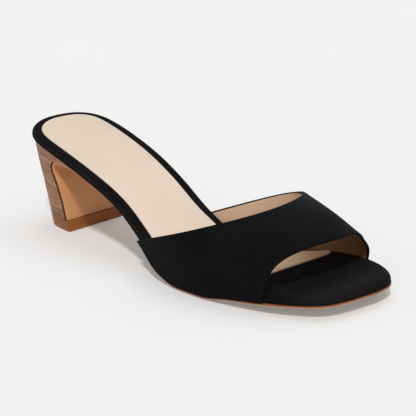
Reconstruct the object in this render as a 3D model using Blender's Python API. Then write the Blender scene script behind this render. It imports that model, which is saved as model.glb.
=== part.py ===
"""Slide sandal for the right foot: a square-toed, heeled mule with one broad suede vamp.

+X runs to the toe, +Y to the wearer's left (the inner side of this foot), +Z up.
The origin is on the floor, at the middle of the heel's tread.
Every layer of the sole lies on one bench line, which carries the arch and the toe spring.
"""
import bpy
import numpy as np

# Driving sizes in metres
LENGTH = 0.245
BALL_WIDTH = 0.080
HEEL_RISE = 0.0540
TOE_SPRING = 0.0062
INSTEP_RISE = 0.0386

CLEARANCE = 0.0003
OUTSOLE_THICKNESS = 0.0015
FOOTBED_THICKNESS = 0.0036
SOCK_THICKNESS = 0.0007
SOCK_MARGIN = 0.0053
SOCK_CORNER = 0.0065
VAMP_WALL = 0.0013
VAMP_HUG = 0.0128
LIFT_THICKNESS = 0.0066
COVER_THICKNESS = 0.0010
COVER_MARGIN = 0.0009
LIFT_STEP = 0.0010

# Places along the shoe, as shares of LENGTH from the back of the heel
TREAD_MIDDLE = 0.096
SOCK_FRONT = 0.777
HEEL_ROUND = 0.06
TOE_ROUND = 0.94

HALF_BALL = BALL_WIDTH / 2
TREAD_LEVEL = OUTSOLE_THICKNESS + CLEARANCE

# Ribs across the sole, from the heel to the toe's front edge
# columns: outer side along, outer side across, inner side along, inner side across
# along in shares of LENGTH, across in shares of half the ball width
RIBS = np.array([
    (0.000, -0.030, 0.000, 0.140),
    (0.009, -0.235, 0.006, 0.365),
    (0.034, -0.455, 0.027, 0.583),
    (0.083, -0.608, 0.077, 0.722),
    (0.167, -0.668, 0.167, 0.708),
    (0.275, -0.702, 0.275, 0.635),
    (0.383, -0.722, 0.385, 0.530),
    (0.486, -0.800, 0.485, 0.495),
    (0.576, -0.895, 0.589, 0.667),
    (0.662, -0.920, 0.698, 0.952),
    (0.751, -0.890, 0.795, 1.080),
    (0.836, -0.795, 0.880, 1.030),
    (0.905, -0.668, 0.941, 0.875),
    (0.951, -0.510, 0.973, 0.718),
    (0.969, -0.398, 0.986, 0.607),
    (0.979, -0.275, 0.992, 0.490),
    (0.987, -0.080, 0.9945, 0.300),
])

# Bench line, the underside of the footbed above the ball's tread
# columns: along in shares of LENGTH, heel part in shares of HEEL_RISE,
# toe part in shares of TOE_SPRING
BENCH = np.array([
    (0.000, 1.000, 0.00),
    (0.083, 0.916, 0.00),
    (0.167, 0.834, 0.00),
    (0.275, 0.706, 0.00),
    (0.384, 0.527, 0.00),
    (0.486, 0.268, 0.00),
    (0.560, 0.062, 0.00),
    (0.630, 0.000, 0.00),
    (0.700, 0.000, 0.00),
    (0.771, 0.000, 0.40),
    (0.857, 0.000, 0.68),
    (0.922, 0.000, 0.84),
    (1.000, 0.000, 1.00),
])

# Edge of the outsole against the footbed's own
# columns: along in shares of LENGTH, how far the outsole stands out in metres
OUTSOLE_EDGE = np.array([
    (0.240, -0.0035),
    (0.500, -0.0035),
    (0.610, 0.0012),
    (0.840, 0.0012),
    (0.920, 0.0002),
    (1.000, 0.0002),
])

# Bevelled edge of the outsole, from the floor up
# columns: inset in metres, height in shares of OUTSOLE_THICKNESS
OUTSOLE_BEVEL = np.array([
    (0.0016, 0.00),
    (0.0005, 0.30),
    (0.0000, 0.62),
    (0.0000, 1.00),
])

# Wrapped edge of the footbed, from its underside up
# columns: inset in metres, height in shares of FOOTBED_THICKNESS
FOOTBED_EDGE = np.array([
    (0.0005, 0.00),
    (0.0000, 0.18),
    (0.0000, 0.42),
    (0.0004, 0.68),
    (0.0012, 0.87),
    (0.0026, 1.00),
])

# Sections of the upper: back edge, middle and front edge
# columns: outer base along, then outer shoulder, crest and inner shoulder, each as
# along, across and height above the ball's tread, then inner base along
# along in shares of LENGTH, across of half the ball width, height of INSTEP_RISE
VAMP_SECTIONS = np.array([
    (0.480, 0.634, -0.885, 0.750, 0.752, -0.005, 0.996, 0.673, 1.048, 0.880, 0.470),
    (0.678, 0.764, -0.850, 0.625, 0.834, 0.050, 0.905, 0.780, 0.980, 0.695, 0.680),
    (0.861, 0.875, -0.705, 0.530, 0.914, 0.108, 0.800, 0.878, 0.850, 0.535, 0.855),
])

# Heel from its tread to the seat
# columns: level as a share of the height, back edge along in shares of LENGTH,
# plan length and plan width as shares of the seat's own
HEEL_TAPER = np.array([
    (0.00, 0.037, 0.68, 0.690),
    (0.26, 0.028, 0.77, 0.790),
    (0.49, 0.023, 0.84, 0.860),
    (0.70, 0.015, 0.91, 0.915),
    (1.00, 0.006, 0.99, 0.975),
])

# Breast of the heel, which turns forward under the seat as a thin wing
# columns: level as a share of the height, front edge along in shares of LENGTH
BREAST = np.array([
    (0.00, 0.1450),
    (0.26, 0.1450),
    (0.55, 0.1395),
    (0.75, 0.1305),
    (0.82, 0.1350),
    (0.91, 0.1570),
    (0.97, 0.2040),
    (1.00, 0.2450),
])

# Counts of the grids
RIB_SAMPLES = 241
EVEN_STATIONS = 45
END_STATIONS = 8
HEEL_STATIONS = 18
VAMP_SECTIONS_ACROSS = 41
VAMP_ROWS = 15
COVER_ROWS = 19
COVER_COLUMNS = 5
SLOPE_STEP = 0.0005


def natural_spline(knots, values, at):
    """Cubic curve through the values at the knots, straight at both ends."""
    step = np.diff(knots)
    count = len(knots)
    matrix = np.eye(count)
    right = np.zeros(values.shape)
    for i in range(1, count - 1):
        matrix[i, i - 1] = step[i - 1]
        matrix[i, i] = 2 * (step[i - 1] + step[i])
        matrix[i, i + 1] = step[i]
        rise = (values[i + 1] - values[i]) / step[i] - (values[i] - values[i - 1]) / step[i - 1]
        right[i] = 6 * rise
    bend = np.linalg.solve(matrix, right)
    span = np.clip(np.searchsorted(knots, at, side="right") - 1, 0, count - 2)
    width = step[span][:, None]
    before = (at - knots[span])[:, None]
    after = width - before
    low, high = values[span], values[span + 1]
    bend_low, bend_high = bend[span], bend[span + 1]
    cubic = (bend_low * after ** 3 + bend_high * before ** 3) / (6 * width)
    return cubic + (low / width - bend_low * width / 6) * after \
        + (high / width - bend_high * width / 6) * before


def level_curve(knots, values, at):
    """Curve through the values that never overshoots them, so a flat stays flat."""
    step = np.diff(knots)
    rise = np.diff(values) / step
    slope = np.zeros(len(knots))
    same = rise[:-1] * rise[1:] > 0
    weight_a, weight_b = 2 * step[1:] + step[:-1], step[1:] + 2 * step[:-1]
    safe_a = np.where(same, rise[:-1], 1.0)
    safe_b = np.where(same, rise[1:], 1.0)
    mean = (weight_a + weight_b) / (weight_a / safe_a + weight_b / safe_b)
    slope[1:-1] = np.where(same, mean, 0.0)
    slope[0], slope[-1] = rise[0], rise[-1]
    at = np.clip(at, knots[0], knots[-1])
    span = np.clip(np.searchsorted(knots, at, side="right") - 1, 0, len(knots) - 2)
    width = step[span]
    part = (at - knots[span]) / width
    ease = part * part * (3 - 2 * part)
    lift_low = part * (1 - part) ** 2 * width * slope[span]
    lift_high = part * part * (1 - part) * width * slope[span + 1]
    return values[span] * (1 - ease) + values[span + 1] * ease + lift_low - lift_high


def bench_height(along):
    """Height of the bench line above the floor."""
    share = along / LENGTH
    heel = level_curve(BENCH[:, 0], BENCH[:, 1], share)
    toe = level_curve(BENCH[:, 0], BENCH[:, 2], share)
    return TREAD_LEVEL + HEEL_RISE * heel + TOE_SPRING * toe


def on_bench(along, across, depth):
    """Points a given depth above the bench line, measured square to it."""
    slope = (bench_height(along + SLOPE_STEP) - bench_height(along - SLOPE_STEP)) / (2 * SLOPE_STEP)
    stretch = np.sqrt(1 + slope * slope)
    x = along - depth * slope / stretch - TREAD_MIDDLE * LENGTH
    z = bench_height(along) + depth / stretch
    return np.stack(np.broadcast_arrays(x, across, z), axis=-1)


def plan_sides(inset):
    """Outer and inner side of the sole in plan, moved in by an inset, heel to toe."""
    index = np.arange(len(RIBS), dtype=float)
    at = np.linspace(0, len(RIBS) - 1, RIB_SAMPLES)
    rows = natural_spline(index, RIBS * (LENGTH, HALF_BALL, LENGTH, HALF_BALL), at)
    loop = np.vstack([rows[:, :2], rows[::-1, 2:]])
    ahead = np.roll(loop, -1, axis=0) - loop
    ahead /= np.linalg.norm(ahead, axis=1)[:, None]
    behind = np.roll(ahead, 1, axis=0)
    corner = ahead + behind
    corner /= np.linalg.norm(corner, axis=1)[:, None]
    mitre = inset / np.sum(corner * ahead, axis=1)
    inward = np.column_stack([-corner[:, 1], corner[:, 0]])
    moved = loop + inward * mitre[:, None]
    return moved[:RIB_SAMPLES], moved[RIB_SAMPLES:][::-1]


def side_across(side, along):
    """How far across the sole one side lies at given places along it."""
    return np.interp(along, side[:, 0], side[:, 1])


def slice_places(start, end, corner):
    """Places along a slice of the heel, close together at its rounded back."""
    share = np.linspace(0, 1, HEEL_STATIONS)
    return start + (end - start) * (1 - np.cos(share * np.pi / 2))


def layer_places(start, end, corner):
    """Places along a layer: the same for every layer, and closer at rounded ends."""
    turn = 1 - np.cos(np.linspace(0, np.pi / 2, END_STATIONS))
    heel_end = HEEL_ROUND * LENGTH
    head = start + (heel_end - start) * turn if start < heel_end else np.array([start])
    toe_start = end - corner if corner > 0 else TOE_ROUND * LENGTH
    tail = end - (end - toe_start) * turn[::-1]
    even = np.linspace(HEEL_ROUND, TOE_ROUND, EVEN_STATIONS) * LENGTH
    room = LENGTH / EVEN_STATIONS / 2
    middle = even[(even > head[-1] + room) & (even < tail[0] - room)]
    return np.concatenate([head, middle, tail])


def plan_loop(inset, back=None, front=None, corner=0.0, places=layer_places):
    """Loop round the sole in plan, cut square at back or front where they are given."""
    halves = []
    for side, sign in zip(plan_sides(inset), (-1.0, 1.0)):
        start = side[0, 0] if back is None else back
        end = side[-1, 0] if front is None else front
        along = places(start, end, corner)
        across = side_across(side, along)
        if corner > 0:
            past = np.clip((along - (end - corner)) / corner, 0, 1)
            across = across - sign * corner * (1 - np.sqrt(1 - past * past))
        halves.append(np.column_stack([along, across]))
    return np.vstack([halves[0][::-1], halves[1]])


def material(name, colour, roughness):
    """Plain finish for one kind of piece."""
    finish = bpy.data.materials.new(name)
    finish.use_nodes = True
    shader = finish.node_tree.nodes["Principled BSDF"]
    shader.inputs["Base Color"].default_value = (*colour, 1.0)
    shader.inputs["Roughness"].default_value = roughness
    return finish


def add_piece(name, points, faces, finish):
    """One named object from points and faces."""
    mesh = bpy.data.meshes.new(name)
    mesh.from_pydata([tuple(p) for p in points], [], faces)
    mesh.materials.append(finish)
    mesh.shade_smooth()
    mesh.set_sharp_from_angle(angle=np.radians(35))
    piece = bpy.data.objects.new(name, mesh)
    bpy.context.scene.collection.objects.link(piece)
    return piece


def stacked_piece(name, rings, finish):
    """Solid of rings one above the other, its ends closed by ladders across the sole."""
    count = len(rings[0])
    faces = []
    for level in range(len(rings) - 1):
        low, high = level * count, (level + 1) * count
        for i in range(count):
            j = (i + 1) % count
            faces.append((low + j, low + i, high + i, high + j))
    top = (len(rings) - 1) * count
    for i in range(count // 2 - 1):
        j = count - 1 - i
        faces.append((i, i + 1, j - 1, j))
        faces.append((top + i + 1, top + i, top + j, top + j - 1))
    return add_piece(name, np.vstack(rings), faces, finish)


def walled_piece(name, outer, inner, finish):
    """Solid wall between an outer and an inner grid of the same shape."""
    rows, columns = outer.shape[:2]
    back = rows * columns
    faces = []

    def quad(a, b, c, d):
        faces.append((a, b, c, d))

    for r in range(rows - 1):
        for c in range(columns - 1):
            k = r * columns + c
            quad(k, k + columns, k + columns + 1, k + 1)
            quad(back + k, back + k + 1, back + k + columns + 1, back + k + columns)
    for c in range(columns - 1):
        first, last = c, (rows - 1) * columns + c
        quad(first, first + 1, back + first + 1, back + first)
        quad(last + 1, last, back + last, back + last + 1)
    for r in range(rows - 1):
        left, right = r * columns, r * columns + columns - 1
        quad(left + columns, left, back + left, back + left + columns)
        quad(right, right + columns, back + right + columns, back + right)
    points = np.vstack([outer.reshape(-1, 3), inner.reshape(-1, 3)])
    return add_piece(name, points, faces, finish)


def make_outsole(finish):
    """Thin leather sole, drawn in under the waist and full under the forepart."""
    back = breast_front(1.0) + COVER_THICKNESS
    low, high = OUTSOLE_EDGE[:, 1].min(), OUTSOLE_EDGE[:, 1].max()
    rings = []
    for inset, level in OUTSOLE_BEVEL:
        waist = plan_loop(inset - low, back=back)
        full = plan_loop(inset - high, back=back)
        stand = level_curve(OUTSOLE_EDGE[:, 0], OUTSOLE_EDGE[:, 1], waist[:, 0] / LENGTH)
        blend = ((stand - low) / (high - low))[:, None]
        loop = waist * (1 - blend) + full * blend
        depth = (level - 1) * OUTSOLE_THICKNESS - CLEARANCE
        rings.append(on_bench(loop[:, 0], loop[:, 1], depth))
    return stacked_piece("outsole", rings, finish)


def make_footbed(finish):
    """Insole board wrapped in suede, its edge rounded over at the top."""
    rings = []
    for inset, level in FOOTBED_EDGE:
        loop = plan_loop(inset)
        rings.append(on_bench(loop[:, 0], loop[:, 1], level * FOOTBED_THICKNESS))
    return stacked_piece("footbed", rings, finish)


def make_sock(finish):
    """Leather sock on the footbed, with rounded corners under the vamp's front edge."""
    rings = []
    loop = plan_loop(SOCK_MARGIN, front=SOCK_FRONT * LENGTH, corner=SOCK_CORNER)
    base = FOOTBED_THICKNESS + CLEARANCE
    for depth in (base, base + SOCK_THICKNESS):
        rings.append(on_bench(loop[:, 0], loop[:, 1], depth))
    return stacked_piece("sock_lining", rings, finish)


def vamp_surface():
    """Grid over the foot, from the back edge to the front edge and from base to base."""
    part = np.linspace(0, 1, VAMP_ROWS)
    table = natural_spline(np.array([0.0, 0.5, 1.0]), VAMP_SECTIONS, part)
    outer_side, inner_side = plan_sides(-CLEARANCE - VAMP_WALL)
    rows = []
    for row in table:
        knots = []
        for base, side in ((row[0], outer_side), (row[10], inner_side)):
            along = base * LENGTH
            knots.append(on_bench(along, side_across(side, along), 0.0))
        shares = row[1:10].reshape(3, 3)
        over = shares * (LENGTH, HALF_BALL, INSTEP_RISE)
        over = over + (-TREAD_MIDDLE * LENGTH, 0.0, TREAD_LEVEL)
        line = np.vstack([knots[0], over, knots[1]])
        gaps = np.linalg.norm(np.diff(line, axis=0), axis=1)
        reach = np.concatenate([[0.0], np.cumsum(gaps)])
        at = np.linspace(0, reach[-1], VAMP_SECTIONS_ACROSS)
        rows.append(natural_spline(reach, line, at))
    grid = np.array(rows)
    along = grid[:, :, 0] + TREAD_MIDDLE * LENGTH
    height = grid[:, :, 2] - bench_height(along) - FOOTBED_THICKNESS
    near = np.clip(1 - height / VAMP_HUG, 0, 1)
    hold = near * near * (3 - 2 * near)
    for side, sign in ((outer_side, -1.0), (inner_side, 1.0)):
        lack = sign * (side_across(side, along) - grid[:, :, 1])
        half = sign * (np.arange(VAMP_SECTIONS_ACROSS) - VAMP_SECTIONS_ACROSS // 2) > 0
        grid[:, :, 1] += sign * np.where(half, np.maximum(lack, 0) * hold, 0)
    return grid


def outward_normals(grid):
    """Unit vectors square to a grid of points."""
    along_rows = np.gradient(grid, axis=0)
    along_columns = np.gradient(grid, axis=1)
    normal = np.cross(along_rows, along_columns)
    return normal / np.linalg.norm(normal, axis=2)[:, :, None]


def make_vamp(finish):
    """Upper of one piece: a hollow arch of even wall, open before and behind."""
    outer = vamp_surface()
    normal = outward_normals(outer)
    if normal[VAMP_ROWS // 2, VAMP_SECTIONS_ACROSS // 2, 2] < 0:
        normal = -normal
    inner = outer - normal * VAMP_WALL
    return walled_piece("vamp", outer, inner, finish)


def heel_slice(level, front):
    """Plan of the heel at a level: the seat's own outline, tapered and cut at the breast."""
    back, length_share, width_share = [
        np.interp(level, HEEL_TAPER[:, 0], HEEL_TAPER[:, i]) for i in (1, 2, 3)]
    seat_front = (front - back * LENGTH) / length_share
    loop = plan_loop(0.0, front=seat_front, places=slice_places)
    return back * LENGTH + loop[:, 0] * length_share, loop[:, 1] * width_share


def heel_points(level, front):
    """Ring round the heel block at a level between the lift and the seat."""
    along, across = heel_slice(level, front)
    low = LIFT_THICKNESS + CLEARANCE
    high = bench_height(along) - CLEARANCE
    z = low + (high - low) * level
    return np.column_stack([along - TREAD_MIDDLE * LENGTH, across, z])


def breast_front(level):
    """Place of the breast along the shoe at a level of the heel."""
    return np.interp(level, BREAST[:, 0], BREAST[:, 1]) * LENGTH


def make_heel(finish):
    """Block of stacked leather between the top lift and the seat."""
    levels = np.unique(np.concatenate([BREAST[:, 0], np.linspace(0, 0.73, 6)]))
    rings = [heel_points(level, breast_front(level)) for level in levels]
    return stacked_piece("heel_block", rings, finish)


def make_lift(finish):
    """Top lift, the wearing piece under the heel, a little proud of the breast."""
    rings = []
    front = breast_front(0.0) + CLEARANCE + COVER_THICKNESS + LIFT_STEP
    for z in (0.0, LIFT_THICKNESS):
        along, across = heel_slice(0.0, front)
        rings.append(np.column_stack([along - TREAD_MIDDLE * LENGTH, across, 0 * along + z]))
    return stacked_piece("top_lift", rings, finish)


def make_cover(finish):
    """Leather over the breast, which runs forward under the wing to meet the outsole."""
    levels = np.linspace(1, 0, COVER_ROWS)
    front = breast_front(levels)
    low = LIFT_THICKNESS + CLEARANCE
    height = low + (bench_height(front) - CLEARANCE - low) * levels
    line = np.column_stack([front, height])
    ahead = np.gradient(line, axis=0)
    ahead /= np.linalg.norm(ahead, axis=1)[:, None]
    away = np.column_stack([-ahead[:, 1], ahead[:, 0]])
    width = []
    for level, place in zip(levels, front):
        across = heel_slice(level, place)[1]
        width.append((across[0] + COVER_MARGIN, across[-1] - COVER_MARGIN))
    width = np.array(width)
    share = np.linspace(0, 1, COVER_COLUMNS)
    grids = []
    for depth in (CLEARANCE + COVER_THICKNESS, CLEARANCE):
        moved = line + away * depth
        y = width[:, :1] * (1 - share) + width[:, 1:] * share
        x = np.repeat(moved[:, :1] - TREAD_MIDDLE * LENGTH, COVER_COLUMNS, axis=1)
        z = np.repeat(moved[:, 1:], COVER_COLUMNS, axis=1)
        grids.append(np.stack([x, y, z], axis=-1))
    return walled_piece("breast_cover", grids[0], grids[1], finish)


def main():
    for item in list(bpy.data.objects):
        bpy.data.objects.remove(item, do_unlink=True)
    suede = material("black suede", (0.012, 0.012, 0.013), 0.85)
    wrap = material("black suede wrap", (0.012, 0.012, 0.013), 0.80)
    sock = material("beige sock leather", (0.77, 0.64, 0.53), 0.50)
    tan = material("tan sole leather", (0.50, 0.25, 0.12), 0.45)
    stack = material("stacked heel leather", (0.27, 0.16, 0.10), 0.50)
    cover = material("breast leather", (0.48, 0.28, 0.16), 0.42)
    lift = material("top lift leather", (0.30, 0.15, 0.06), 0.50)
    make_outsole(tan)
    make_footbed(wrap)
    make_sock(sock)
    make_vamp(suede)
    make_heel(stack)
    make_cover(cover)
    make_lift(lift)


main()
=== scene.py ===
"""Looks of a heeled slide sandal for the right foot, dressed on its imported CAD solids.

+X runs to the toe, +Y to the wearer's left (the inner side of this foot), +Z up, in metres.
The origin is on the floor, at the middle of the heel's tread.
"""

import bpy
import numpy as np
from mathutils import Matrix, Vector


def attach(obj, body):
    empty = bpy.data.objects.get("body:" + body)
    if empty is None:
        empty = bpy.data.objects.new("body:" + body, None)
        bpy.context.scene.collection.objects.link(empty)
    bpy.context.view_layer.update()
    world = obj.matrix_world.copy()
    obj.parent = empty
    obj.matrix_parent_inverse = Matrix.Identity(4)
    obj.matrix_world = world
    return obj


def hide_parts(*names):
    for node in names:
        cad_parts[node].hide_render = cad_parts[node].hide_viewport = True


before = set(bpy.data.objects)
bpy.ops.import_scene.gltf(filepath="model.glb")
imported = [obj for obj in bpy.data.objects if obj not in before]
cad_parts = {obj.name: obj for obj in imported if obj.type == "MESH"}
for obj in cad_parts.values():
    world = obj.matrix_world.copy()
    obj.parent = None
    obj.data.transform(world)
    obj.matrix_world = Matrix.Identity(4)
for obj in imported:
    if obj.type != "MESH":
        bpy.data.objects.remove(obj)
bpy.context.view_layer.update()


# Footbed
# A board cut to the plan of the foot and bent to the heel's pitch, wrapped in black suede.
# The suede turns over a soft round edge and shows as a band round the sock and at the toe; its
# turned edge and its toe carry a painted highlight.
LENGTH = 0.245
HALF_BALL = 0.040
HEEL_RISE = 0.0540
TOE_SPRING = 0.0062
CLEARANCE = 0.0003
OUTSOLE_THICKNESS = 0.0015
TREAD_LEVEL = OUTSOLE_THICKNESS + CLEARANCE
TREAD_MIDDLE = 0.096
FOOTBED_THICKNESS = 0.0036
FOOTBED_UNDER = (0.0006, 0.0006)
FOOTBED_OVER = (0.0027, 0.0022)
FOOTBED_EDGE_STEPS = 13
BAND_DARK = (0.0030, 0.0029, 0.0027)
BAND_LIGHT = (0.0074, 0.0070, 0.0066)
# the colour of the band's painted highlight
BAND_PAINTED_HIGHLIGHT = (0.026, 0.025, 0.023)
BAND_SHEEN = 0.026

# painted highlight on the band, a lighter colour standing for light caught on its nap: place, width
# and strength of the patch on the turn of its edge, in shares of the reach inward, from the heel as
# far as the waist
TURN_HIGHLIGHT_PLACE, TURN_HIGHLIGHT_WIDTH, TURN_HIGHLIGHT_STRENGTH = 0.12, 0.10, 0.35
WAIST_END = 0.6
# the painted highlight at the toe: place, width and strength, in shares of LENGTH
TOE_HIGHLIGHT_PLACE, TOE_HIGHLIGHT_WIDTH, TOE_HIGHLIGHT_STRENGTH = 0.95, 0.035, 0.28

# columns: outer side along, outer side across, inner side along, inner side across
# along in shares of LENGTH, across in shares of HALF_BALL
RIBS = np.array([
    (0.000, -0.030, 0.000, 0.140),
    (0.009, -0.235, 0.006, 0.365),
    (0.034, -0.455, 0.027, 0.583),
    (0.083, -0.608, 0.077, 0.722),
    (0.167, -0.668, 0.167, 0.708),
    (0.275, -0.702, 0.275, 0.635),
    (0.383, -0.722, 0.385, 0.530),
    (0.486, -0.800, 0.485, 0.495),
    (0.576, -0.895, 0.589, 0.667),
    (0.662, -0.920, 0.698, 0.952),
    (0.751, -0.890, 0.795, 1.080),
    (0.836, -0.795, 0.880, 1.030),
    (0.905, -0.668, 0.941, 0.875),
    (0.951, -0.510, 0.973, 0.718),
    (0.969, -0.398, 0.986, 0.607),
    (0.979, -0.275, 0.992, 0.490),
    (0.987, -0.080, 0.9945, 0.300),
])

# columns: along in shares of LENGTH, heel part of HEEL_RISE, toe part of TOE_SPRING
BENCH = np.array([
    (0.000, 1.000, 0.00),
    (0.083, 0.916, 0.00),
    (0.167, 0.834, 0.00),
    (0.275, 0.706, 0.00),
    (0.384, 0.527, 0.00),
    (0.486, 0.268, 0.00),
    (0.560, 0.062, 0.00),
    (0.630, 0.000, 0.00),
    (0.700, 0.000, 0.00),
    (0.771, 0.000, 0.40),
    (0.857, 0.000, 0.68),
    (0.922, 0.000, 0.84),
    (1.000, 0.000, 1.00),
])


def natural_spline(knots, values, at):
    """Cubic curve through the values at the knots, with no bend at its two ends."""
    step = np.diff(knots)
    count = len(knots)
    matrix = np.eye(count)
    right = np.zeros(values.shape)
    for i in range(1, count - 1):
        matrix[i, i - 1:i + 2] = step[i - 1], 2 * (step[i - 1] + step[i]), step[i]
        rise_after = (values[i + 1] - values[i]) / step[i]
        rise_before = (values[i] - values[i - 1]) / step[i - 1]
        right[i] = 6 * (rise_after - rise_before)
    bend = np.linalg.solve(matrix, right)
    span = np.clip(np.searchsorted(knots, at, side="right") - 1, 0, count - 2)
    width = step[span][:, None]
    before = (at - knots[span])[:, None]
    after = width - before
    low, high = values[span], values[span + 1]
    cubic = (bend[span] * after ** 3 + bend[span + 1] * before ** 3) / (6 * width)
    return cubic + (low / width - bend[span] * width / 6) * after \
        + (high / width - bend[span + 1] * width / 6) * before


def smooth_step(value):
    """Rise from 0 to 1 with level ends: 3 v squared less 2 v cubed."""
    value = np.clip(value, 0, 1)
    return value * value * (3 - 2 * value)


def bell(value, middle, width):
    """Hump of height 1: e to the minus square of the distance from its middle over its width."""
    return np.exp(-((value - middle) / width) ** 2)


def level_curve(knots, values, at):
    """Cubic curve whose slopes are harmonic means of its neighbours', so a flat stays flat."""
    step = np.diff(knots)
    rise = np.diff(values) / step
    slope = np.zeros(len(knots))
    same = rise[:-1] * rise[1:] > 0
    weight_a, weight_b = 2 * step[1:] + step[:-1], step[1:] + 2 * step[:-1]
    safe_a = np.where(same, rise[:-1], 1.0)
    safe_b = np.where(same, rise[1:], 1.0)
    mean = (weight_a + weight_b) / (weight_a / safe_a + weight_b / safe_b)
    slope[1:-1] = np.where(same, mean, 0.0)
    slope[0], slope[-1] = rise[0], rise[-1]
    at = np.clip(at, knots[0], knots[-1])
    span = np.clip(np.searchsorted(knots, at, side="right") - 1, 0, len(knots) - 2)
    width = step[span]
    part = (at - knots[span]) / width
    ease = smooth_step(part)
    return values[span] * (1 - ease) + values[span + 1] * ease \
        + part * (1 - part) * width * (slope[span] * (1 - part) - slope[span + 1] * part)


def bench_height(along):
    """Height of the footbed's underside: the tread, plus the heel's and the toe's rise."""
    share = along / LENGTH
    return TREAD_LEVEL + HEEL_RISE * level_curve(BENCH[:, 0], BENCH[:, 1], share) \
        + TOE_SPRING * level_curve(BENCH[:, 0], BENCH[:, 2], share)


def on_bench(along, across, depth):
    """Points above the bench line by a depth measured square to its slope."""
    step = 0.0005
    slope = (bench_height(along + step) - bench_height(along - step)) / (2 * step)
    stretch = np.sqrt(1 + slope * slope)
    x = along - depth * slope / stretch - TREAD_MIDDLE * LENGTH
    return np.stack(np.broadcast_arrays(x, across, bench_height(along) + depth / stretch), axis=-1)


def plan_sides(inset):
    """Both sides of the sole in plan: a spline through the ribs, moved in along its mitres."""
    samples = 361
    index = np.arange(len(RIBS), dtype=float)
    ribs = RIBS * (LENGTH, HALF_BALL, LENGTH, HALF_BALL)
    rows = natural_spline(index, ribs, np.linspace(0, index[-1], samples))
    loop = np.vstack([rows[:, :2], rows[::-1, 2:]])
    ahead = np.roll(loop, -1, axis=0) - loop
    ahead /= np.linalg.norm(ahead, axis=1)[:, None]
    corner = ahead + np.roll(ahead, 1, axis=0)
    corner /= np.linalg.norm(corner, axis=1)[:, None]
    mitre = inset / np.sum(corner * ahead, axis=1)
    moved = loop + np.column_stack([-corner[:, 1], corner[:, 0]]) * mitre[:, None]
    return moved[:samples], moved[samples:][::-1]


def side_across(side, along):
    """How far across the sole one side lies at given places along it."""
    return np.interp(along, side[:, 0], side[:, 1])


def layer_places(start, end, corner):
    """Places along a layer, even in its middle and closing up by a cosine at rounded ends."""
    turn_steps, even_steps, room = 18, 177, 0.0006
    heel_end, toe_start = 0.06 * LENGTH, 0.94 * LENGTH
    turn = 1 - np.cos(np.linspace(0, np.pi / 2, turn_steps))
    head = start + (heel_end - start) * turn if start < heel_end else np.array([start])
    tail = end - (corner or end - toe_start) * turn[::-1]
    even = np.linspace(heel_end, toe_start, even_steps)
    return np.concatenate([head, even[(even > head[-1] + room) & (even < tail[0] - room)], tail])


def plan_loop(inset, back=None, front=None, corner=0.0, places=layer_places):
    """Loop round the sole in plan, toe to heel outside and heel to toe inside, cut square.

    A corner is a quarter circle: one less the root of one less the square of the way past it.
    """
    halves = []
    for side, sign in zip(plan_sides(inset), (-1.0, 1.0)):
        start = side[0, 0] if back is None else back
        end = side[-1, 0] if front is None else front
        along = places(start, end, corner)
        across = side_across(side, along)
        if corner > 0:
            past = np.clip((along - (end - corner)) / corner, 0, 1)
            across = across - sign * corner * (1 - np.sqrt(1 - past * past))
        halves.append(np.column_stack([along, across]))
    return np.vstack([halves[0][::-1], halves[1]])


def rounded_edge(thickness, under, over, steps):
    """Edge of a board as inset and height: quarter of an oval, a straight side, and another.

    An oval is given by its reach inward and its reach up.
    """
    turn = np.linspace(0, np.pi / 2, steps)
    low = np.column_stack([under[0] * (1 - np.sin(turn)), under[1] * (1 - np.cos(turn))])
    high = np.column_stack([over[0] * (1 - np.cos(turn)), thickness - over[1] * (1 - np.sin(turn))])
    return np.vstack([low, high])


def ring_solid(name, rings, material, node=None, marks=None):
    """Closed skin over rings of points, its first and last ring laddered shut.

    Point i of an end faces point count - 1 - i. Where the signed volume, a third of the sum of
    each facet's area times its distance from the origin, comes out negative, all faces turn.
    """
    sharp_degrees = 40
    levels, count = rings.shape[:2]
    ring = np.arange(count)
    after = np.roll(ring, -1)
    low = np.arange(levels - 1)[:, None] * count
    sides = np.stack([low + after, low + ring, low + count + ring, low + count + after], axis=-1)
    step = np.arange(count // 2 - 1)
    first = np.stack([step, step + 1, count - 2 - step, count - 1 - step], axis=-1)
    last = first[:, ::-1] + (levels - 1) * count
    quads = np.vstack([sides.reshape(-1, 4), first, last])
    points = rings.reshape(-1, 3)
    a, b, c, d = (points[quads[:, k]] for k in range(4))
    volume = np.einsum("ij,ij->i", a, np.cross(b, c)) + np.einsum("ij,ij->i", a, np.cross(c, d))
    if volume.sum() < 0:
        quads = quads[:, ::-1]
    mesh = bpy.data.meshes.new(name)
    mesh.from_pydata(points.tolist(), [], quads.tolist())
    for label, values in (marks or {}).items():
        mark = mesh.attributes.new(label, "FLOAT", "POINT")
        mark.data.foreach_set("value", np.asarray(values, dtype=np.float32).ravel())
    mesh.materials.append(material)
    mesh.shade_smooth()
    mesh.set_sharp_from_angle(angle=np.radians(sharp_degrees))
    piece = bpy.data.objects.new(name, mesh)
    bpy.context.scene.collection.objects.link(piece)
    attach(piece, "root")
    if node:
        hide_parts(node)
    return piece


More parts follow.
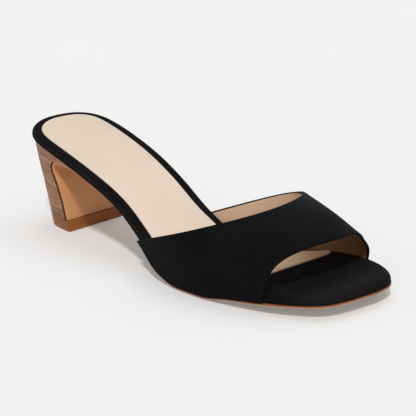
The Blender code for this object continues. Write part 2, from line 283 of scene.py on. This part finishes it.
class Tone:
    """A number or colour that changes over a surface: one socket among a material's nodes."""

    def __init__(self, tree, socket):
        self.tree = tree
        self.socket = socket

    def node(self, kind, settings, sockets, out=0):
        """A new node: its settings first, then the values or links of its sockets."""
        made = self.tree.nodes.new(kind)
        for key, value in settings.items():
            if key == "stops":
                ramp = made.color_ramp.elements
                while len(ramp) < len(value):
                    ramp.new(0.5)
                for stop, (place, colour) in zip(ramp, value):
                    stop.position = place
                    stop.color = (*colour, 1.0)
            else:
                setattr(made, key, value)
        for key, value in sockets.items():
            if isinstance(value, Tone):
                self.tree.links.new(value.socket, made.inputs[key])
            else:
                made.inputs[key].default_value = value
        return Tone(self.tree, made.outputs[out])

    def maths(self, operation, first, second):
        return self.node("ShaderNodeMath", {"operation": operation}, {0: first, 1: second})

    def __add__(self, other):
        return self.maths("ADD", self, other)

    def __radd__(self, other):
        return self.maths("ADD", other, self)

    def __mul__(self, other):
        return self.maths("MULTIPLY", self, other)

    def __rmul__(self, other):
        return self.maths("MULTIPLY", other, self)

    def noise(self, scale, detail, rough, stretch=(1.0, 1.0, 1.0)):
        """Cloudy pattern with its grain drawn out along the axes with a small stretch."""
        place = self.node("ShaderNodeMapping", {}, {"Vector": self, "Scale": stretch})
        sockets = {"Vector": place, "Scale": scale, "Detail": detail, "Roughness": rough}
        return self.node("ShaderNodeTexNoise", {}, sockets, "Fac")

    def between(self, low, high):
        """Straight rise from 0 at low to 1 at high."""
        sockets = {"Value": self, "From Min": low, "From Max": high}
        return self.node("ShaderNodeMapRange", {}, sockets)

    def blend(self, first, second):
        """Colour that goes from the first to the second as this number goes from 0 to 1."""
        ends = [end if isinstance(end, Tone) else (*end, 1.0) for end in (first, second)]
        factor, colour_a, colour_b, mixed_colour = 0, 6, 7, 2
        sockets = {factor: self, colour_a: ends[0], colour_b: ends[1]}
        return self.node("ShaderNodeMix", {"data_type": "RGBA"}, sockets, mixed_colour)

    def relief(self, depth, onto=None):
        """Surface pushed in and out by this number times a depth in metres."""
        sockets = {"Height": self, "Distance": depth, "Strength": 1.0}
        if onto is not None:
            sockets["Normal"] = onto
        return self.node("ShaderNodeBump", {}, sockets)

    def mark(self, label):
        """Number that the mesh itself carries under a label."""
        return self.node("ShaderNodeAttribute", {"attribute_name": label}, {}, "Fac")

    def feeds(self, shader, name):
        self.tree.links.new(self.socket, shader.inputs[name])


def finish(name, even):
    """New material: its shader, whose even values are set on it, and the piece's own place."""
    material = bpy.data.materials.new(name)
    material.use_nodes = True
    tree = material.node_tree
    shader = tree.nodes["Principled BSDF"]
    for key, value in even.items():
        shader.inputs[key].default_value = value
    place = Tone(tree, tree.nodes.new("ShaderNodeTexCoord").outputs["Object"])
    return material, shader, place


def suede(name, dark, light, brushed, sheen):
    """Buffed skin: fine nap, hand-sized patches where it lies the other way, a dusty sheen.

    Where the mesh carries its highlight mark, a lighter colour is painted on as a highlight.
    """
    nap_depth = 0.00012
    material, shader, place = finish(name, {
        "Specular IOR Level": 0.05, "Sheen Weight": sheen, "Sheen Roughness": 0.42,
        "Sheen Tint": (0.80, 0.82, 0.88, 1.0)})
    broad = place.noise(scale=38.0, detail=2.0, rough=0.5)
    hand = place.noise(scale=300.0, detail=3.0, rough=0.6)
    nap = place.noise(scale=1500.0, detail=3.0, rough=0.7)
    tone = (broad * 0.5 + hand * 0.3 + nap * 0.2).between(0.32, 0.68)
    # the highlight mark, broken up by the broad cloud, paints a lighter colour on as a highlight
    highlight_amount = place.mark("brushed") * (0.55 + broad * 0.9)
    highlight_amount.blend(tone.blend(dark, light), brushed).feeds(shader, "Base Color")
    (0.84 + hand * 0.12).feeds(shader, "Roughness")
    nap.relief(nap_depth, hand.relief(nap_depth)).feeds(shader, "Normal")
    return material


footbed_rings, footbed_highlight = [], []
for inset, depth in rounded_edge(FOOTBED_THICKNESS, FOOTBED_UNDER, FOOTBED_OVER,
                                 FOOTBED_EDGE_STEPS):
    loop = plan_loop(inset)
    share = loop[:, 0] / LENGTH
    footbed_rings.append(on_bench(loop[:, 0], loop[:, 1], depth))
    # painted highlight: a lighter colour on the band's turned edge from the heel to the waist, and
    # on the toe, stands for light caught there
    on_turn = (depth > FOOTBED_THICKNESS / 2) & (share < WAIST_END)
    turn_highlight = TURN_HIGHLIGHT_STRENGTH * bell(inset / FOOTBED_OVER[0], TURN_HIGHLIGHT_PLACE, TURN_HIGHLIGHT_WIDTH)
    footbed_highlight.append(turn_highlight * on_turn + TOE_HIGHLIGHT_STRENGTH * bell(share, TOE_HIGHLIGHT_PLACE, TOE_HIGHLIGHT_WIDTH))
band_suede = suede("footbed band suede", BAND_DARK, BAND_LIGHT, BAND_PAINTED_HIGHLIGHT, BAND_SHEEN)
ring_solid("footbed_wrapped", np.array(footbed_rings), band_suede, "footbed",
           {"brushed": footbed_highlight})


# Sock lining
# Smooth beige calf, cut about 5 mm inside the footbed's edge and glued down on it.
# It ends under the upper in a rounded tongue, painted lighter and warmer there, as light that falls
# in under the upper and bounces off the lining.
SOCK_THICKNESS = 0.0006
SOCK_UNDER = (0.0001, 0.0001)
SOCK_OVER = (0.0006, 0.0004)
SOCK_EDGE_STEPS = 6
SOCK_SUNK = 0.0001
SOCK_MARGIN = 0.0053
SOCK_CORNER = 0.0065
SOCK_FRONT = 0.779
SOCK_LIGHT = (0.735, 0.605, 0.492)
SOCK_DEEP = (0.69, 0.557, 0.448)
# painted light: the tongue's lighter, warmer colour, then where it starts and how far it rises, in
# shares of LENGTH
SOCK_PAINTED_LIGHT = (0.95, 0.68, 0.46)
SOCK_PAINTED_LIGHT_START, SOCK_PAINTED_LIGHT_REACH = 0.62, 0.12

# the tongue's front edge bows back by SOCK_BOW at one HALF_BALL from the bow's middle
SOCK_BOW = 0.0045
SOCK_BOW_MIDDLE = 0.4
TONGUE_START = 0.9

# columns: along in shares of LENGTH, how far the inner side stands further in
SOCK_INNER = np.array([
    (0.00, 0.0006),
    (0.12, 0.0012),
    (0.45, 0.0012),
    (0.62, -0.0004),
    (0.76, -0.0042),
])


def calf(name, light, deep, rough, coat=0.0, warm=None):
    """Smooth dressed leather: pores, a faint cloud of its dye and a little unevenness.

    Where the mesh carries its mark for it, the colour goes over to a third: painted light on the
    sock's tongue, painted shade at the lining's front.
    """
    pore_depth, wrinkle_depth = 0.00005, 0.00010
    material, shader, place = finish(name, {
        "Specular IOR Level": 0.28, "Coat Weight": coat, "Coat Roughness": 0.30})
    cloud = place.noise(scale=30.0, detail=3.0, rough=0.5)
    pores = place.noise(scale=1300.0, detail=3.0, rough=0.6)
    wrinkle = place.noise(scale=420.0, detail=4.0, rough=0.6, stretch=(1.0, 0.7, 1.0))
    dye = (cloud * 0.7 + wrinkle * 0.3).between(0.30, 0.70).blend(deep, light)
    # the mark paints light on the sock's tongue and shade at the lining's front
    if warm:
        dye = place.mark("warm").blend(dye, warm)
    dye.feeds(shader, "Base Color")
    (rough + wrinkle * 0.12).feeds(shader, "Roughness")
    pores.relief(pore_depth, wrinkle.relief(wrinkle_depth)).feeds(shader, "Normal")
    return material


sock_rings, sock_painted_light = [], []
for inset, depth in rounded_edge(SOCK_THICKNESS, SOCK_UNDER, SOCK_OVER, SOCK_EDGE_STEPS):
    loop = plan_loop(SOCK_MARGIN + inset, front=SOCK_FRONT * LENGTH - inset,
                     corner=SOCK_CORNER - inset)
    half = len(loop) // 2
    loop[half:, 1] -= np.interp(loop[half:, 0] / LENGTH, SOCK_INNER[:, 0], SOCK_INNER[:, 1])
    way_along = loop[:, 0] / LENGTH / SOCK_FRONT
    tongue = np.clip((way_along - TONGUE_START) / (1 - TONGUE_START), 0, 1)
    loop[:, 0] -= SOCK_BOW * tongue ** 2 * (loop[:, 1] / HALF_BALL - SOCK_BOW_MIDDLE) ** 2
    # painted light: the tongue's colour grows lighter and warmer towards the front
    sock_painted_light.append(np.clip((loop[:, 0] / LENGTH - SOCK_PAINTED_LIGHT_START) / SOCK_PAINTED_LIGHT_REACH, 0, 1))
    sock_rings.append(on_bench(loop[:, 0], loop[:, 1], FOOTBED_THICKNESS - SOCK_SUNK + depth))
sock_calf = calf("sock calf", SOCK_LIGHT, SOCK_DEEP, 0.42, warm=SOCK_PAINTED_LIGHT)
ring_solid("sock_beige", np.array(sock_rings), sock_calf, "sock_lining",
           {"warm": sock_painted_light})


# Vamp
# One broad arch of black suede, pulled over the last and down outside the footbed.
# Its two free edges are folded under, and a tan calf lining is glued in against them.
INSTEP_RISE = 0.0386
VAMP_WALL = 0.0013
VAMP_HUG = 0.0128
VAMP_ROWS, VAMP_COLUMNS = 96, 181
VAMP_DARK = (0.0023, 0.0023, 0.0024)
VAMP_LIGHT = (0.0060, 0.0060, 0.0062)
# the colour of the vamp's painted highlight
VAMP_PAINTED_HIGHLIGHT = (0.031, 0.032, 0.034)
VAMP_SHEEN = 0.028

# the suede's share of the wall, and its edge: a rolled rim, then a low ridge over the fold
SUEDE_SHARE = 0.64
RIM_SHARE, RIM_STEPS = 0.009, 9
FOLD_RIDGE = 0.00005
FOLD_WIDTH, FOLD_FADE = 0.0042, 0.0012
TURNED_UNDER, TURNED_UNDER_FADE = 0.0011, 0.0002

# painted highlight, a lighter colour standing for light caught on the nap: place and width
# across, from -1 outside to 1 inside, then start and rise behind the front edge in shares of
# the upper's length
VAMP_HIGHLIGHT_PLACE, VAMP_HIGHLIGHT_WIDTH = 0.26, 0.24
VAMP_HIGHLIGHT_START, VAMP_HIGHLIGHT_RISE = 0.125, 0.625

LINING_SETBACK = 0.0014
LINING_OUTSIDE = VAMP_WALL * (SUEDE_SHARE + 0.02)
LINING_ROWS = 80
LINING_LIGHT = (0.54, 0.36, 0.242)
LINING_DEEP = (0.465, 0.298, 0.196)
# painted shade: the deep colour the lining goes over to towards its front edge, and how it rises
LINING_PAINTED_SHADE = (0.25, 0.108, 0.028)
LINING_PAINTED_SHADE_POWER = 1.4

# columns: outer base along, then outer shoulder, crest and inner shoulder, each as
# along, across and height above the ball's tread, then inner base along
# along in shares of LENGTH, across of HALF_BALL, height of INSTEP_RISE
VAMP_SECTIONS = np.array([
    (0.480, 0.634, -0.885, 0.750, 0.752, -0.005, 0.996, 0.673, 1.048, 0.880, 0.470),
    (0.678, 0.764, -0.850, 0.625, 0.834, 0.050, 0.905, 0.780, 0.980, 0.695, 0.680),
    (0.857, 0.870, -0.705, 0.530, 0.914, 0.108, 0.800, 0.878, 0.872, 0.545, 0.855),
])


def vamp_surface(part, columns):
    """Arch over the foot: each row a spline through base, shoulder, crest, shoulder and base.

    Close to the footbed a row is pushed out to its side, by its lack times a smooth step.
    """
    table = natural_spline(np.array([0.0, 0.5, 1.0]), VAMP_SECTIONS, part)
    sides = plan_sides(-CLEARANCE - VAMP_WALL)
    rows = []
    for row in table:
        bases = [on_bench(base * LENGTH, side_across(side, base * LENGTH), 0.0)
                 for base, side in zip((row[0], row[10]), sides)]
        over = row[1:10].reshape(3, 3) * (LENGTH, HALF_BALL, INSTEP_RISE)
        over = over + (-TREAD_MIDDLE * LENGTH, 0.0, TREAD_LEVEL)
        line = np.vstack([bases[0], over, bases[1]])
        steps = np.linalg.norm(np.diff(line, axis=0), axis=1)
        reach = np.concatenate([[0.0], np.cumsum(steps)])
        rows.append(natural_spline(reach, line, np.linspace(0, reach[-1], columns)))
    grid = np.array(rows)
    along = grid[:, :, 0] + TREAD_MIDDLE * LENGTH
    above = grid[:, :, 2] - bench_height(along) - FOOTBED_THICKNESS
    hold = smooth_step(1 - above / VAMP_HUG)
    for side, sign in zip(sides, (-1.0, 1.0)):
        lack = np.maximum(sign * (side_across(side, along) - grid[:, :, 1]), 0)
        half = sign * (np.arange(columns) - columns // 2) > 0
        grid[:, :, 1] += sign * np.where(half, lack * hold, 0)
    return grid


def outward(grid):
    """Unit vectors square to a grid, turned away from the ground under its middle."""
    normal = np.cross(np.gradient(grid, axis=0), np.gradient(grid, axis=1))
    normal /= np.linalg.norm(normal, axis=2)[:, :, None]
    middle = normal[grid.shape[0] // 2, grid.shape[1] // 2, 2]
    return normal if middle > 0 else -normal


inner_part = 0.5 - 0.5 * np.cos(np.linspace(0, np.pi, VAMP_ROWS))
part = np.concatenate([[0.0], RIM_SHARE + (1 - 2 * RIM_SHARE) * inner_part, [1.0]])
vamp_grid = vamp_surface(part, VAMP_COLUMNS)
vamp_out = outward(vamp_grid)
strides = np.linalg.norm(np.diff(vamp_grid, axis=0, prepend=vamp_grid[:1]), axis=2)
gone = np.cumsum(strides, axis=0)
from_edge = np.minimum(gone, gone[-1] - gone)[1:-1, :, None]
body, square = vamp_grid[1:-1], vamp_out[1:-1]
ridge = FOLD_RIDGE * (1 - smooth_step((from_edge - FOLD_WIDTH) / FOLD_FADE))
folded = 1 - smooth_step((from_edge - TURNED_UNDER) / TURNED_UNDER_FADE)
deep = VAMP_WALL * (SUEDE_SHARE + (1 - SUEDE_SHARE) * folded)
outer, inner = body + square * ridge, body - square * deep
half_turn = np.linspace(0, np.pi, RIM_STEPS)[1:-1, None, None]
rims = []
for row, turn in ((-1, half_turn), (0, half_turn[::-1])):
    half_wall = square[row] * (ridge + deep)[row] / 2
    reach = vamp_grid[row] - body[row]
    rims.append(outer[row] - half_wall * (1 - np.cos(turn)) + reach * np.sin(turn))
shell = np.concatenate([outer, rims[0], inner[::-1], rims[1]])
across_share = np.broadcast_to(np.linspace(-1, 1, VAMP_COLUMNS), shell.shape[:2])
behind_front = (shell[:, :, 0].max() - shell[:, :, 0]) / np.ptp(shell[:, :, 0])
# painted highlight: a lighter colour on the inner side of the crest, growing back from the front
# edge, stands for light caught on the nap
brushed = bell(across_share, VAMP_HIGHLIGHT_PLACE, VAMP_HIGHLIGHT_WIDTH) \
    * smooth_step((behind_front - VAMP_HIGHLIGHT_START) / VAMP_HIGHLIGHT_RISE)
vamp_suede = suede("vamp suede", VAMP_DARK, VAMP_LIGHT, VAMP_PAINTED_HIGHLIGHT, VAMP_SHEEN)
ring_solid("vamp_suede", shell.transpose(1, 0, 2), vamp_suede, "vamp",
           {"brushed": brushed.T})

lining_rings, lining_painted_shade = [], []
for column in range(VAMP_COLUMNS):
    way = gone[:, column]
    at = np.linspace(LINING_SETBACK, way[-1] - LINING_SETBACK, LINING_ROWS)
    line, away = (np.column_stack([np.interp(at, way, grid[:, column, k]) for k in range(3)])
                  for grid in (vamp_grid, vamp_out))
    # painted shade: the lining's colour goes deeper towards its front edge
    lining_painted_shade.append((np.concatenate([at, at[::-1]]) / way[-1]) ** LINING_PAINTED_SHADE_POWER)
    lining_rings.append(np.vstack([line - away * LINING_OUTSIDE, (line - away * VAMP_WALL)[::-1]]))
lining_calf = calf("vamp lining calf", LINING_LIGHT, LINING_DEEP, 0.50, warm=LINING_PAINTED_SHADE)
ring_solid("vamp_lining", np.array(lining_rings), lining_calf, None,
           {"warm": lining_painted_shade})


# Outsole
# Thin tan sole leather under the forepart, drawn in under the waist up to the heel.
# Its edge is inked orange brown where it meets the suede and left pale below.
OUTSOLE_BACK = 0.2450 * LENGTH + 0.0010
OUTSOLE_UNDER = (0.0016, 0.0011)
OUTSOLE_OVER = (0.0002, 0.00015)
OUTSOLE_EDGE_STEPS = 9
BARE_DARK = (0.42, 0.31, 0.225)
BARE_LIGHT = (0.54, 0.41, 0.31)
INKED_DARK = (0.22, 0.062, 0.018)
INKED_LIGHT = (0.34, 0.105, 0.034)
INK_FROM, INK_FULL = 0.52, 0.60
SOLE_GRAIN_DEPTH = 0.00006

# columns: along in shares of LENGTH, how far the outsole stands out past the footbed
OUTSOLE_EDGE = np.array([
    (0.240, -0.0035),
    (0.500, -0.0035),
    (0.610, 0.0012),
    (0.840, 0.0012),
    (0.920, 0.0002),
    (1.000, 0.0002),
])

narrow, wide = OUTSOLE_EDGE[:, 1].min(), OUTSOLE_EDGE[:, 1].max()
outsole_rings, outsole_height = [], []
for inset, depth in rounded_edge(OUTSOLE_THICKNESS, OUTSOLE_UNDER, OUTSOLE_OVER,
                                 OUTSOLE_EDGE_STEPS):
    drawn_in = plan_loop(inset - narrow, back=OUTSOLE_BACK)
    full = plan_loop(inset - wide, back=OUTSOLE_BACK)
    stand = level_curve(OUTSOLE_EDGE[:, 0], OUTSOLE_EDGE[:, 1], drawn_in[:, 0] / LENGTH)
    share = ((stand - narrow) / (wide - narrow))[:, None]
    loop = drawn_in * (1 - share) + full * share
    below = depth - CLEARANCE - OUTSOLE_THICKNESS
    outsole_rings.append(on_bench(loop[:, 0], loop[:, 1], below))
    outsole_height.append(np.full(len(loop), depth / OUTSOLE_THICKNESS))

sole_leather, shader, place = finish("tan sole leather", {"Specular IOR Level": 0.45})
grain = place.noise(scale=900.0, detail=4.0, rough=0.6, stretch=(0.4, 1.0, 1.0))
cloud = place.noise(scale=45.0, detail=3.0, rough=0.5)
bare = (cloud * 0.6 + grain * 0.4).between(0.3, 0.7).blend(BARE_DARK, BARE_LIGHT)
inked = grain.between(0.3, 0.7).blend(INKED_DARK, INKED_LIGHT)
place.mark("height").between(INK_FROM, INK_FULL).blend(bare, inked).feeds(shader, "Base Color")
(0.42 + grain * 0.2).feeds(shader, "Roughness")
grain.relief(SOLE_GRAIN_DEPTH).feeds(shader, "Normal")
ring_solid("outsole_leather", np.array(outsole_rings), sole_leather, "outsole",
           {"height": outsole_height})


# Heel block
# Lifts of stacked leather, ground to a tapering block that is rounded behind, then waxed.
# Each layer shows as a fine line round the heel, with its own tone.
LIFT_THICKNESS = 0.0066
HEEL_FOOT = LIFT_THICKNESS + CLEARANCE
HEEL_SLICE_STEPS = 60
LAYERS = 17
LAYER_GROOVE = 0.00003
LAYER_LINE = 0.004
STACK_DARK = (0.135, 0.048, 0.019)
STACK_MIDDLE = (0.285, 0.124, 0.055)
STACK_LIGHT = (0.48, 0.262, 0.135)
BREAST_DARK = (0.085, 0.034, 0.014)
LAYER_WAVE = 1.5
FINE_DEPTH, STREAK_DEPTH = 0.00005, 0.00008

# levels, from 0 at the heel's foot to 1 at the seat, where the breast runs out forward
BREAST_TURN = np.linspace(0.76, 0.995, 22)

# columns: level, back of the heel in shares of LENGTH, then the shares that the slice keeps
# of the seat's length and of its width; the first row is the foot of the top lift
HEEL_TAPER = np.array([
    (-0.14, 0.037, 0.68, 0.690),
    (0.00, 0.034, 0.711, 0.725),
    (0.26, 0.028, 0.77, 0.790),
    (0.49, 0.023, 0.84, 0.860),
    (0.70, 0.015, 0.91, 0.915),
    (1.00, 0.006, 0.99, 0.975),
])

# columns: level, place of the breast along the shoe in shares of LENGTH
BREAST = np.array([
    (0.00, 0.1450),
    (0.26, 0.1450),
    (0.55, 0.1395),
    (0.75, 0.1305),
    (0.82, 0.1350),
    (0.91, 0.1570),
    (0.97, 0.2040),
    (1.00, 0.2450),
])


def slice_places(start, end, corner):
    """Places along a slice, close together by a cosine at its round back; its front is cut."""
    turn = np.linspace(0, np.pi / 2, HEEL_SLICE_STEPS)
    return start + (end - start) * (1 - np.cos(turn))


def heel_slice(level, front, inset=0.0):
    """Plan of the heel at a level: the seat's outline, tapered and cut at the breast."""
    back, length_share, width_share = (
        np.interp(level, HEEL_TAPER[:, 0], HEEL_TAPER[:, k]) for k in (1, 2, 3))
    seat_front = (front - back * LENGTH) / length_share
    loop = plan_loop(inset, front=seat_front, places=slice_places)
    return back * LENGTH + loop[:, 0] * length_share, loop[:, 1] * width_share


def breast_front(level):
    """Places of the breast along the shoe at one or more levels of the heel."""
    return level_curve(BREAST[:, 0], BREAST[:, 1], np.atleast_1d(level)) * LENGTH


def heel_height(along, level):
    """Height at a level of the heel: that share of the way from its foot to the bench."""
    return HEEL_FOOT + (bench_height(along) - CLEARANCE - HEEL_FOOT) * level


levels = [(0.0, 0.0), (1.0, 0.0)] + [(level, 0.0) for level in BREAST_TURN]
for glue_line in np.linspace(0, 1, LAYERS + 1)[1:-1]:
    levels += [(glue_line - LAYER_LINE, 0.0), (glue_line, LAYER_GROOVE),
               (glue_line + LAYER_LINE, 0.0)]
heel_rings, heel_level, heel_breast = [], [], []
for level, inset in sorted(levels):
    along, across = heel_slice(level, breast_front(level)[0], inset)
    z = heel_height(along, level)
    heel_rings.append(np.column_stack([along - TREAD_MIDDLE * LENGTH, across, z]))
    heel_level.append(np.full(len(along), level))
    at_breast = np.zeros(len(along))
    at_breast[[0, -1]] = 1.0
    heel_breast.append(at_breast)

stack_leather, shader, place = finish("stacked heel leather", {
    "Specular IOR Level": 0.20, "Coat Weight": 0.03, "Coat Roughness": 0.35})
wave = place.noise(scale=80.0, detail=2.0, rough=0.5, stretch=(1.0, 1.0, 1.2))
layer_number = place.mark("level") * float(LAYERS) + wave * LAYER_WAVE
layer = place.node("ShaderNodeCombineXYZ", {}, {"Z": layer_number})
tone = layer.noise(scale=0.9, detail=1.0, rough=0.5)
streak = place.noise(scale=150.0, detail=3.0, rough=0.55, stretch=(0.6, 0.6, 2.0))
fine = place.noise(scale=900.0, detail=4.0, rough=0.6, stretch=(0.3, 0.3, 2.6))
mixed = (tone * 0.58 + streak * 0.30 + fine * 0.12).between(0.35, 0.65)
stops = [(0.0, STACK_DARK), (0.45, STACK_MIDDLE), (1.0, STACK_LIGHT)]
ground = mixed.node("ShaderNodeValToRGB", {"stops": stops}, {"Fac": mixed})
# darker colour on the heel's breast faces, seen as narrow strips each side of the cover
breast_darkening = place.mark("breast").between(0.45, 0.95)
breast_darkening.blend(ground, BREAST_DARK).feeds(shader, "Base Color")
(0.36 + fine * 0.25).feeds(shader, "Roughness")
fine.relief(FINE_DEPTH, streak.relief(STREAK_DEPTH)).feeds(shader, "Normal")
ring_solid("heel_stack", np.array(heel_rings), stack_leather, "heel_block",
           {"level": heel_level, "breast": heel_breast})


# Breast cover
# A strip of smooth tan calf glued to the front of the heel, from the lift up and forward
# under the shank, where it meets the outsole; a dark line shows each side of it.
COVER_THICKNESS = 0.0010
COVER_MARGIN = 0.0009
COVER_ROUND = 0.0004
COVER_ROWS, COVER_TURN_STEPS, COVER_FLAT_STEPS = 140, 6, 15
COVER_LIGHT = (0.66, 0.325, 0.145)
COVER_DEEP = (0.575, 0.265, 0.110)

levels = np.linspace(1, 0, COVER_ROWS)
front = breast_front(levels)
line = np.column_stack([front, heel_height(front, levels)])
ahead = np.gradient(line, axis=0)
ahead /= np.linalg.norm(ahead, axis=1)[:, None]
away = np.column_stack([-ahead[:, 1], ahead[:, 0]])

# a quarter circle at each side of the strip, with its flat between them
turn = np.linspace(0, np.pi / 2, COVER_TURN_STEPS)
flat, side = np.zeros(COVER_FLAT_STEPS), np.ones(COVER_TURN_STEPS)
bow = np.concatenate([-side, np.linspace(-1, 1, COVER_FLAT_STEPS + 2)[1:-1], side])
bow_in = np.concatenate([1 - np.cos(turn), flat, -(1 - np.cos(turn))[::-1]]) * COVER_ROUND
drop = np.concatenate([1 - np.sin(turn), flat, (1 - np.sin(turn))[::-1]]) * COVER_ROUND
cover_rings = []
for level, place_along, spot, out in zip(levels, front, line, away):
    across = heel_slice(level, place_along)[1]
    low_side, high_side = across[0] + COVER_MARGIN, across[-1] - COVER_MARGIN
    y = (low_side + high_side) / 2 + bow * (high_side - low_side) / 2 + bow_in
    faces = []
    for depth, order in ((COVER_THICKNESS - drop, 1), (0 * drop, -1)):
        x = spot[0] + out[0] * (CLEARANCE + depth) - TREAD_MIDDLE * LENGTH
        z = spot[1] + out[1] * (CLEARANCE + depth)
        faces.append(np.column_stack([x, y, z])[::order])
    cover_rings.append(np.vstack(faces))
cover_calf = calf("breast cover calf", COVER_LIGHT, COVER_DEEP, 0.40, coat=0.04)
ring_solid("breast_cover_calf", np.array(cover_rings), cover_calf,
           "breast_cover")


# Top lift
# The wearing piece: two plies of hard sole leather, nailed under the stack and waxed.
# It carries on the heel's taper to the floor and stands a little proud of the cover in front.
LIFT_STEP = 0.0010
LIFT_LEVELS = 0.14
LIFT_UNDER = (0.0004, 0.0005)
LIFT_OVER = (0.0003, 0.0003)
LIFT_EDGE_STEPS = 6
SEAM_HEIGHT = LIFT_THICKNESS * 0.52
SEAM_HALF, SEAM_DEPTH = 0.00015, 0.0001
LIFT_DARK = (0.19, 0.057, 0.010)
LIFT_LIGHT = (0.37, 0.135, 0.032)

lift_front = breast_front(0.0)[0] + CLEARANCE + COVER_THICKNESS + LIFT_STEP
edge = rounded_edge(LIFT_THICKNESS, LIFT_UNDER, LIFT_OVER, LIFT_EDGE_STEPS)
groove = np.array([(0.0, SEAM_HEIGHT - SEAM_HALF), (SEAM_DEPTH, SEAM_HEIGHT),
                   (0.0, SEAM_HEIGHT + SEAM_HALF)])
lift_rings = []
for inset, height in np.vstack([edge[:LIFT_EDGE_STEPS], groove, edge[LIFT_EDGE_STEPS:]]):
    level = LIFT_LEVELS * (height / LIFT_THICKNESS - 1)
    along, across = heel_slice(level, lift_front - inset, inset)
    z = np.full(len(along), height)
    lift_rings.append(np.column_stack([along - TREAD_MIDDLE * LENGTH, across, z]))

lift_leather, shader, place = finish("top lift leather", {
    "Specular IOR Level": 0.25, "Coat Weight": 0.04, "Coat Roughness": 0.35})
streak = place.noise(scale=260.0, detail=5.0, rough=0.65, stretch=(0.35, 0.35, 2.6))
fine = place.noise(scale=1000.0, detail=4.0, rough=0.6, stretch=(0.3, 0.3, 2.4))
mixed = (streak * 0.65 + fine * 0.35).between(0.32, 0.68)
mixed.blend(LIFT_DARK, LIFT_LIGHT).feeds(shader, "Base Color")
(0.36 + fine * 0.22).feeds(shader, "Roughness")
fine.relief(FINE_DEPTH).feeds(shader, "Normal")
ring_solid("top_lift_leather", np.array(lift_rings), lift_leather, "top_lift")


# Floor and light
# A plain pale floor, lit faintly from below so that its shadows stay light, that runs out
# of view. A small high lamp at the outer front, a broad one behind, and an even sky.
FLOOR_REACH = 4.0
FLOOR_DARK = (0.697, 0.694, 0.690)
FLOOR_LIGHT = (0.707, 0.704, 0.700)
SKY_COLOUR = (0.95, 0.975, 1.0, 1.0)
SKY_STRENGTH = 0.45

# columns: name, strength, width in degrees, colour, way from the shoe to the lamp
LAMPS = (
    ("key", 1.86, 6, (1.0, 0.985, 0.965), (0.46, -0.43, 0.775)),
    ("back light", 0.62, 50, (1.0, 0.995, 0.985), (-0.12, 0.34, 0.93)),
)

floor_mesh = bpy.data.meshes.new("floor")
corners = [(x * FLOOR_REACH, y * FLOOR_REACH, 0.0) for x, y in ((-1, -1), (1, -1), (1, 1), (-1, 1))]
floor_mesh.from_pydata(corners, [], [(0, 1, 2, 3)])
floor = bpy.data.objects.new("floor", floor_mesh)
bpy.context.scene.collection.objects.link(floor)
floor_paint, shader, place = finish("floor paint", {
    "Roughness": 0.9, "Specular IOR Level": 0.0, "Emission Color": (1.0, 0.996, 0.992, 1.0),
    "Emission Strength": 0.14})
unevenness = place.noise(scale=6.0, detail=2.0, rough=0.5).between(0.3, 0.7)
unevenness.blend(FLOOR_DARK, FLOOR_LIGHT).feeds(shader, "Base Color")
floor_mesh.materials.append(floor_paint)

sky = bpy.data.worlds.new("studio sky")
sky.use_nodes = True
sky.node_tree.nodes["Background"].inputs["Color"].default_value = SKY_COLOUR
sky.node_tree.nodes["Background"].inputs["Strength"].default_value = SKY_STRENGTH
bpy.context.scene.world = sky

for name, strength, width, colour, way in LAMPS:
    lamp = bpy.data.lights.new(name, "SUN")
    lamp.energy = strength
    lamp.angle = np.radians(width)
    lamp.color = colour
    stand = bpy.data.objects.new(name, lamp)
    stand.rotation_euler = Vector(way).to_track_quat("Z", "Y").to_euler()
    bpy.context.scene.collection.objects.link(stand)
bpy.context.scene.view_settings.view_transform = "Standard"


# Camera
# A long lens a little above the toe's outer side, at the photograph's place and tilt.
# Its lens and the width of its film are in millimetres.
CAMERA_PLACE = Vector((0.6678, -0.4835, 0.2680))
CAMERA_AIM = Vector((0.1138, 0.0, 0.0310))
CAMERA_ROLL = np.radians(-2.65)
CAMERA_LENS = 127.9
FILM_WIDTH = 36.0

lens = bpy.data.cameras.new("camera")
lens.sensor_width = FILM_WIDTH
lens.lens = CAMERA_LENS
camera = bpy.data.objects.new("camera", lens)
facing = (CAMERA_PLACE - CAMERA_AIM).to_track_quat("Z", "Y").to_matrix().to_4x4()
roll = Matrix.Rotation(CAMERA_ROLL, 4, "Z")
camera.matrix_world = Matrix.Translation(CAMERA_PLACE) @ facing @ roll
bpy.context.scene.collection.objects.link(camera)
bpy.context.scene.camera = camera
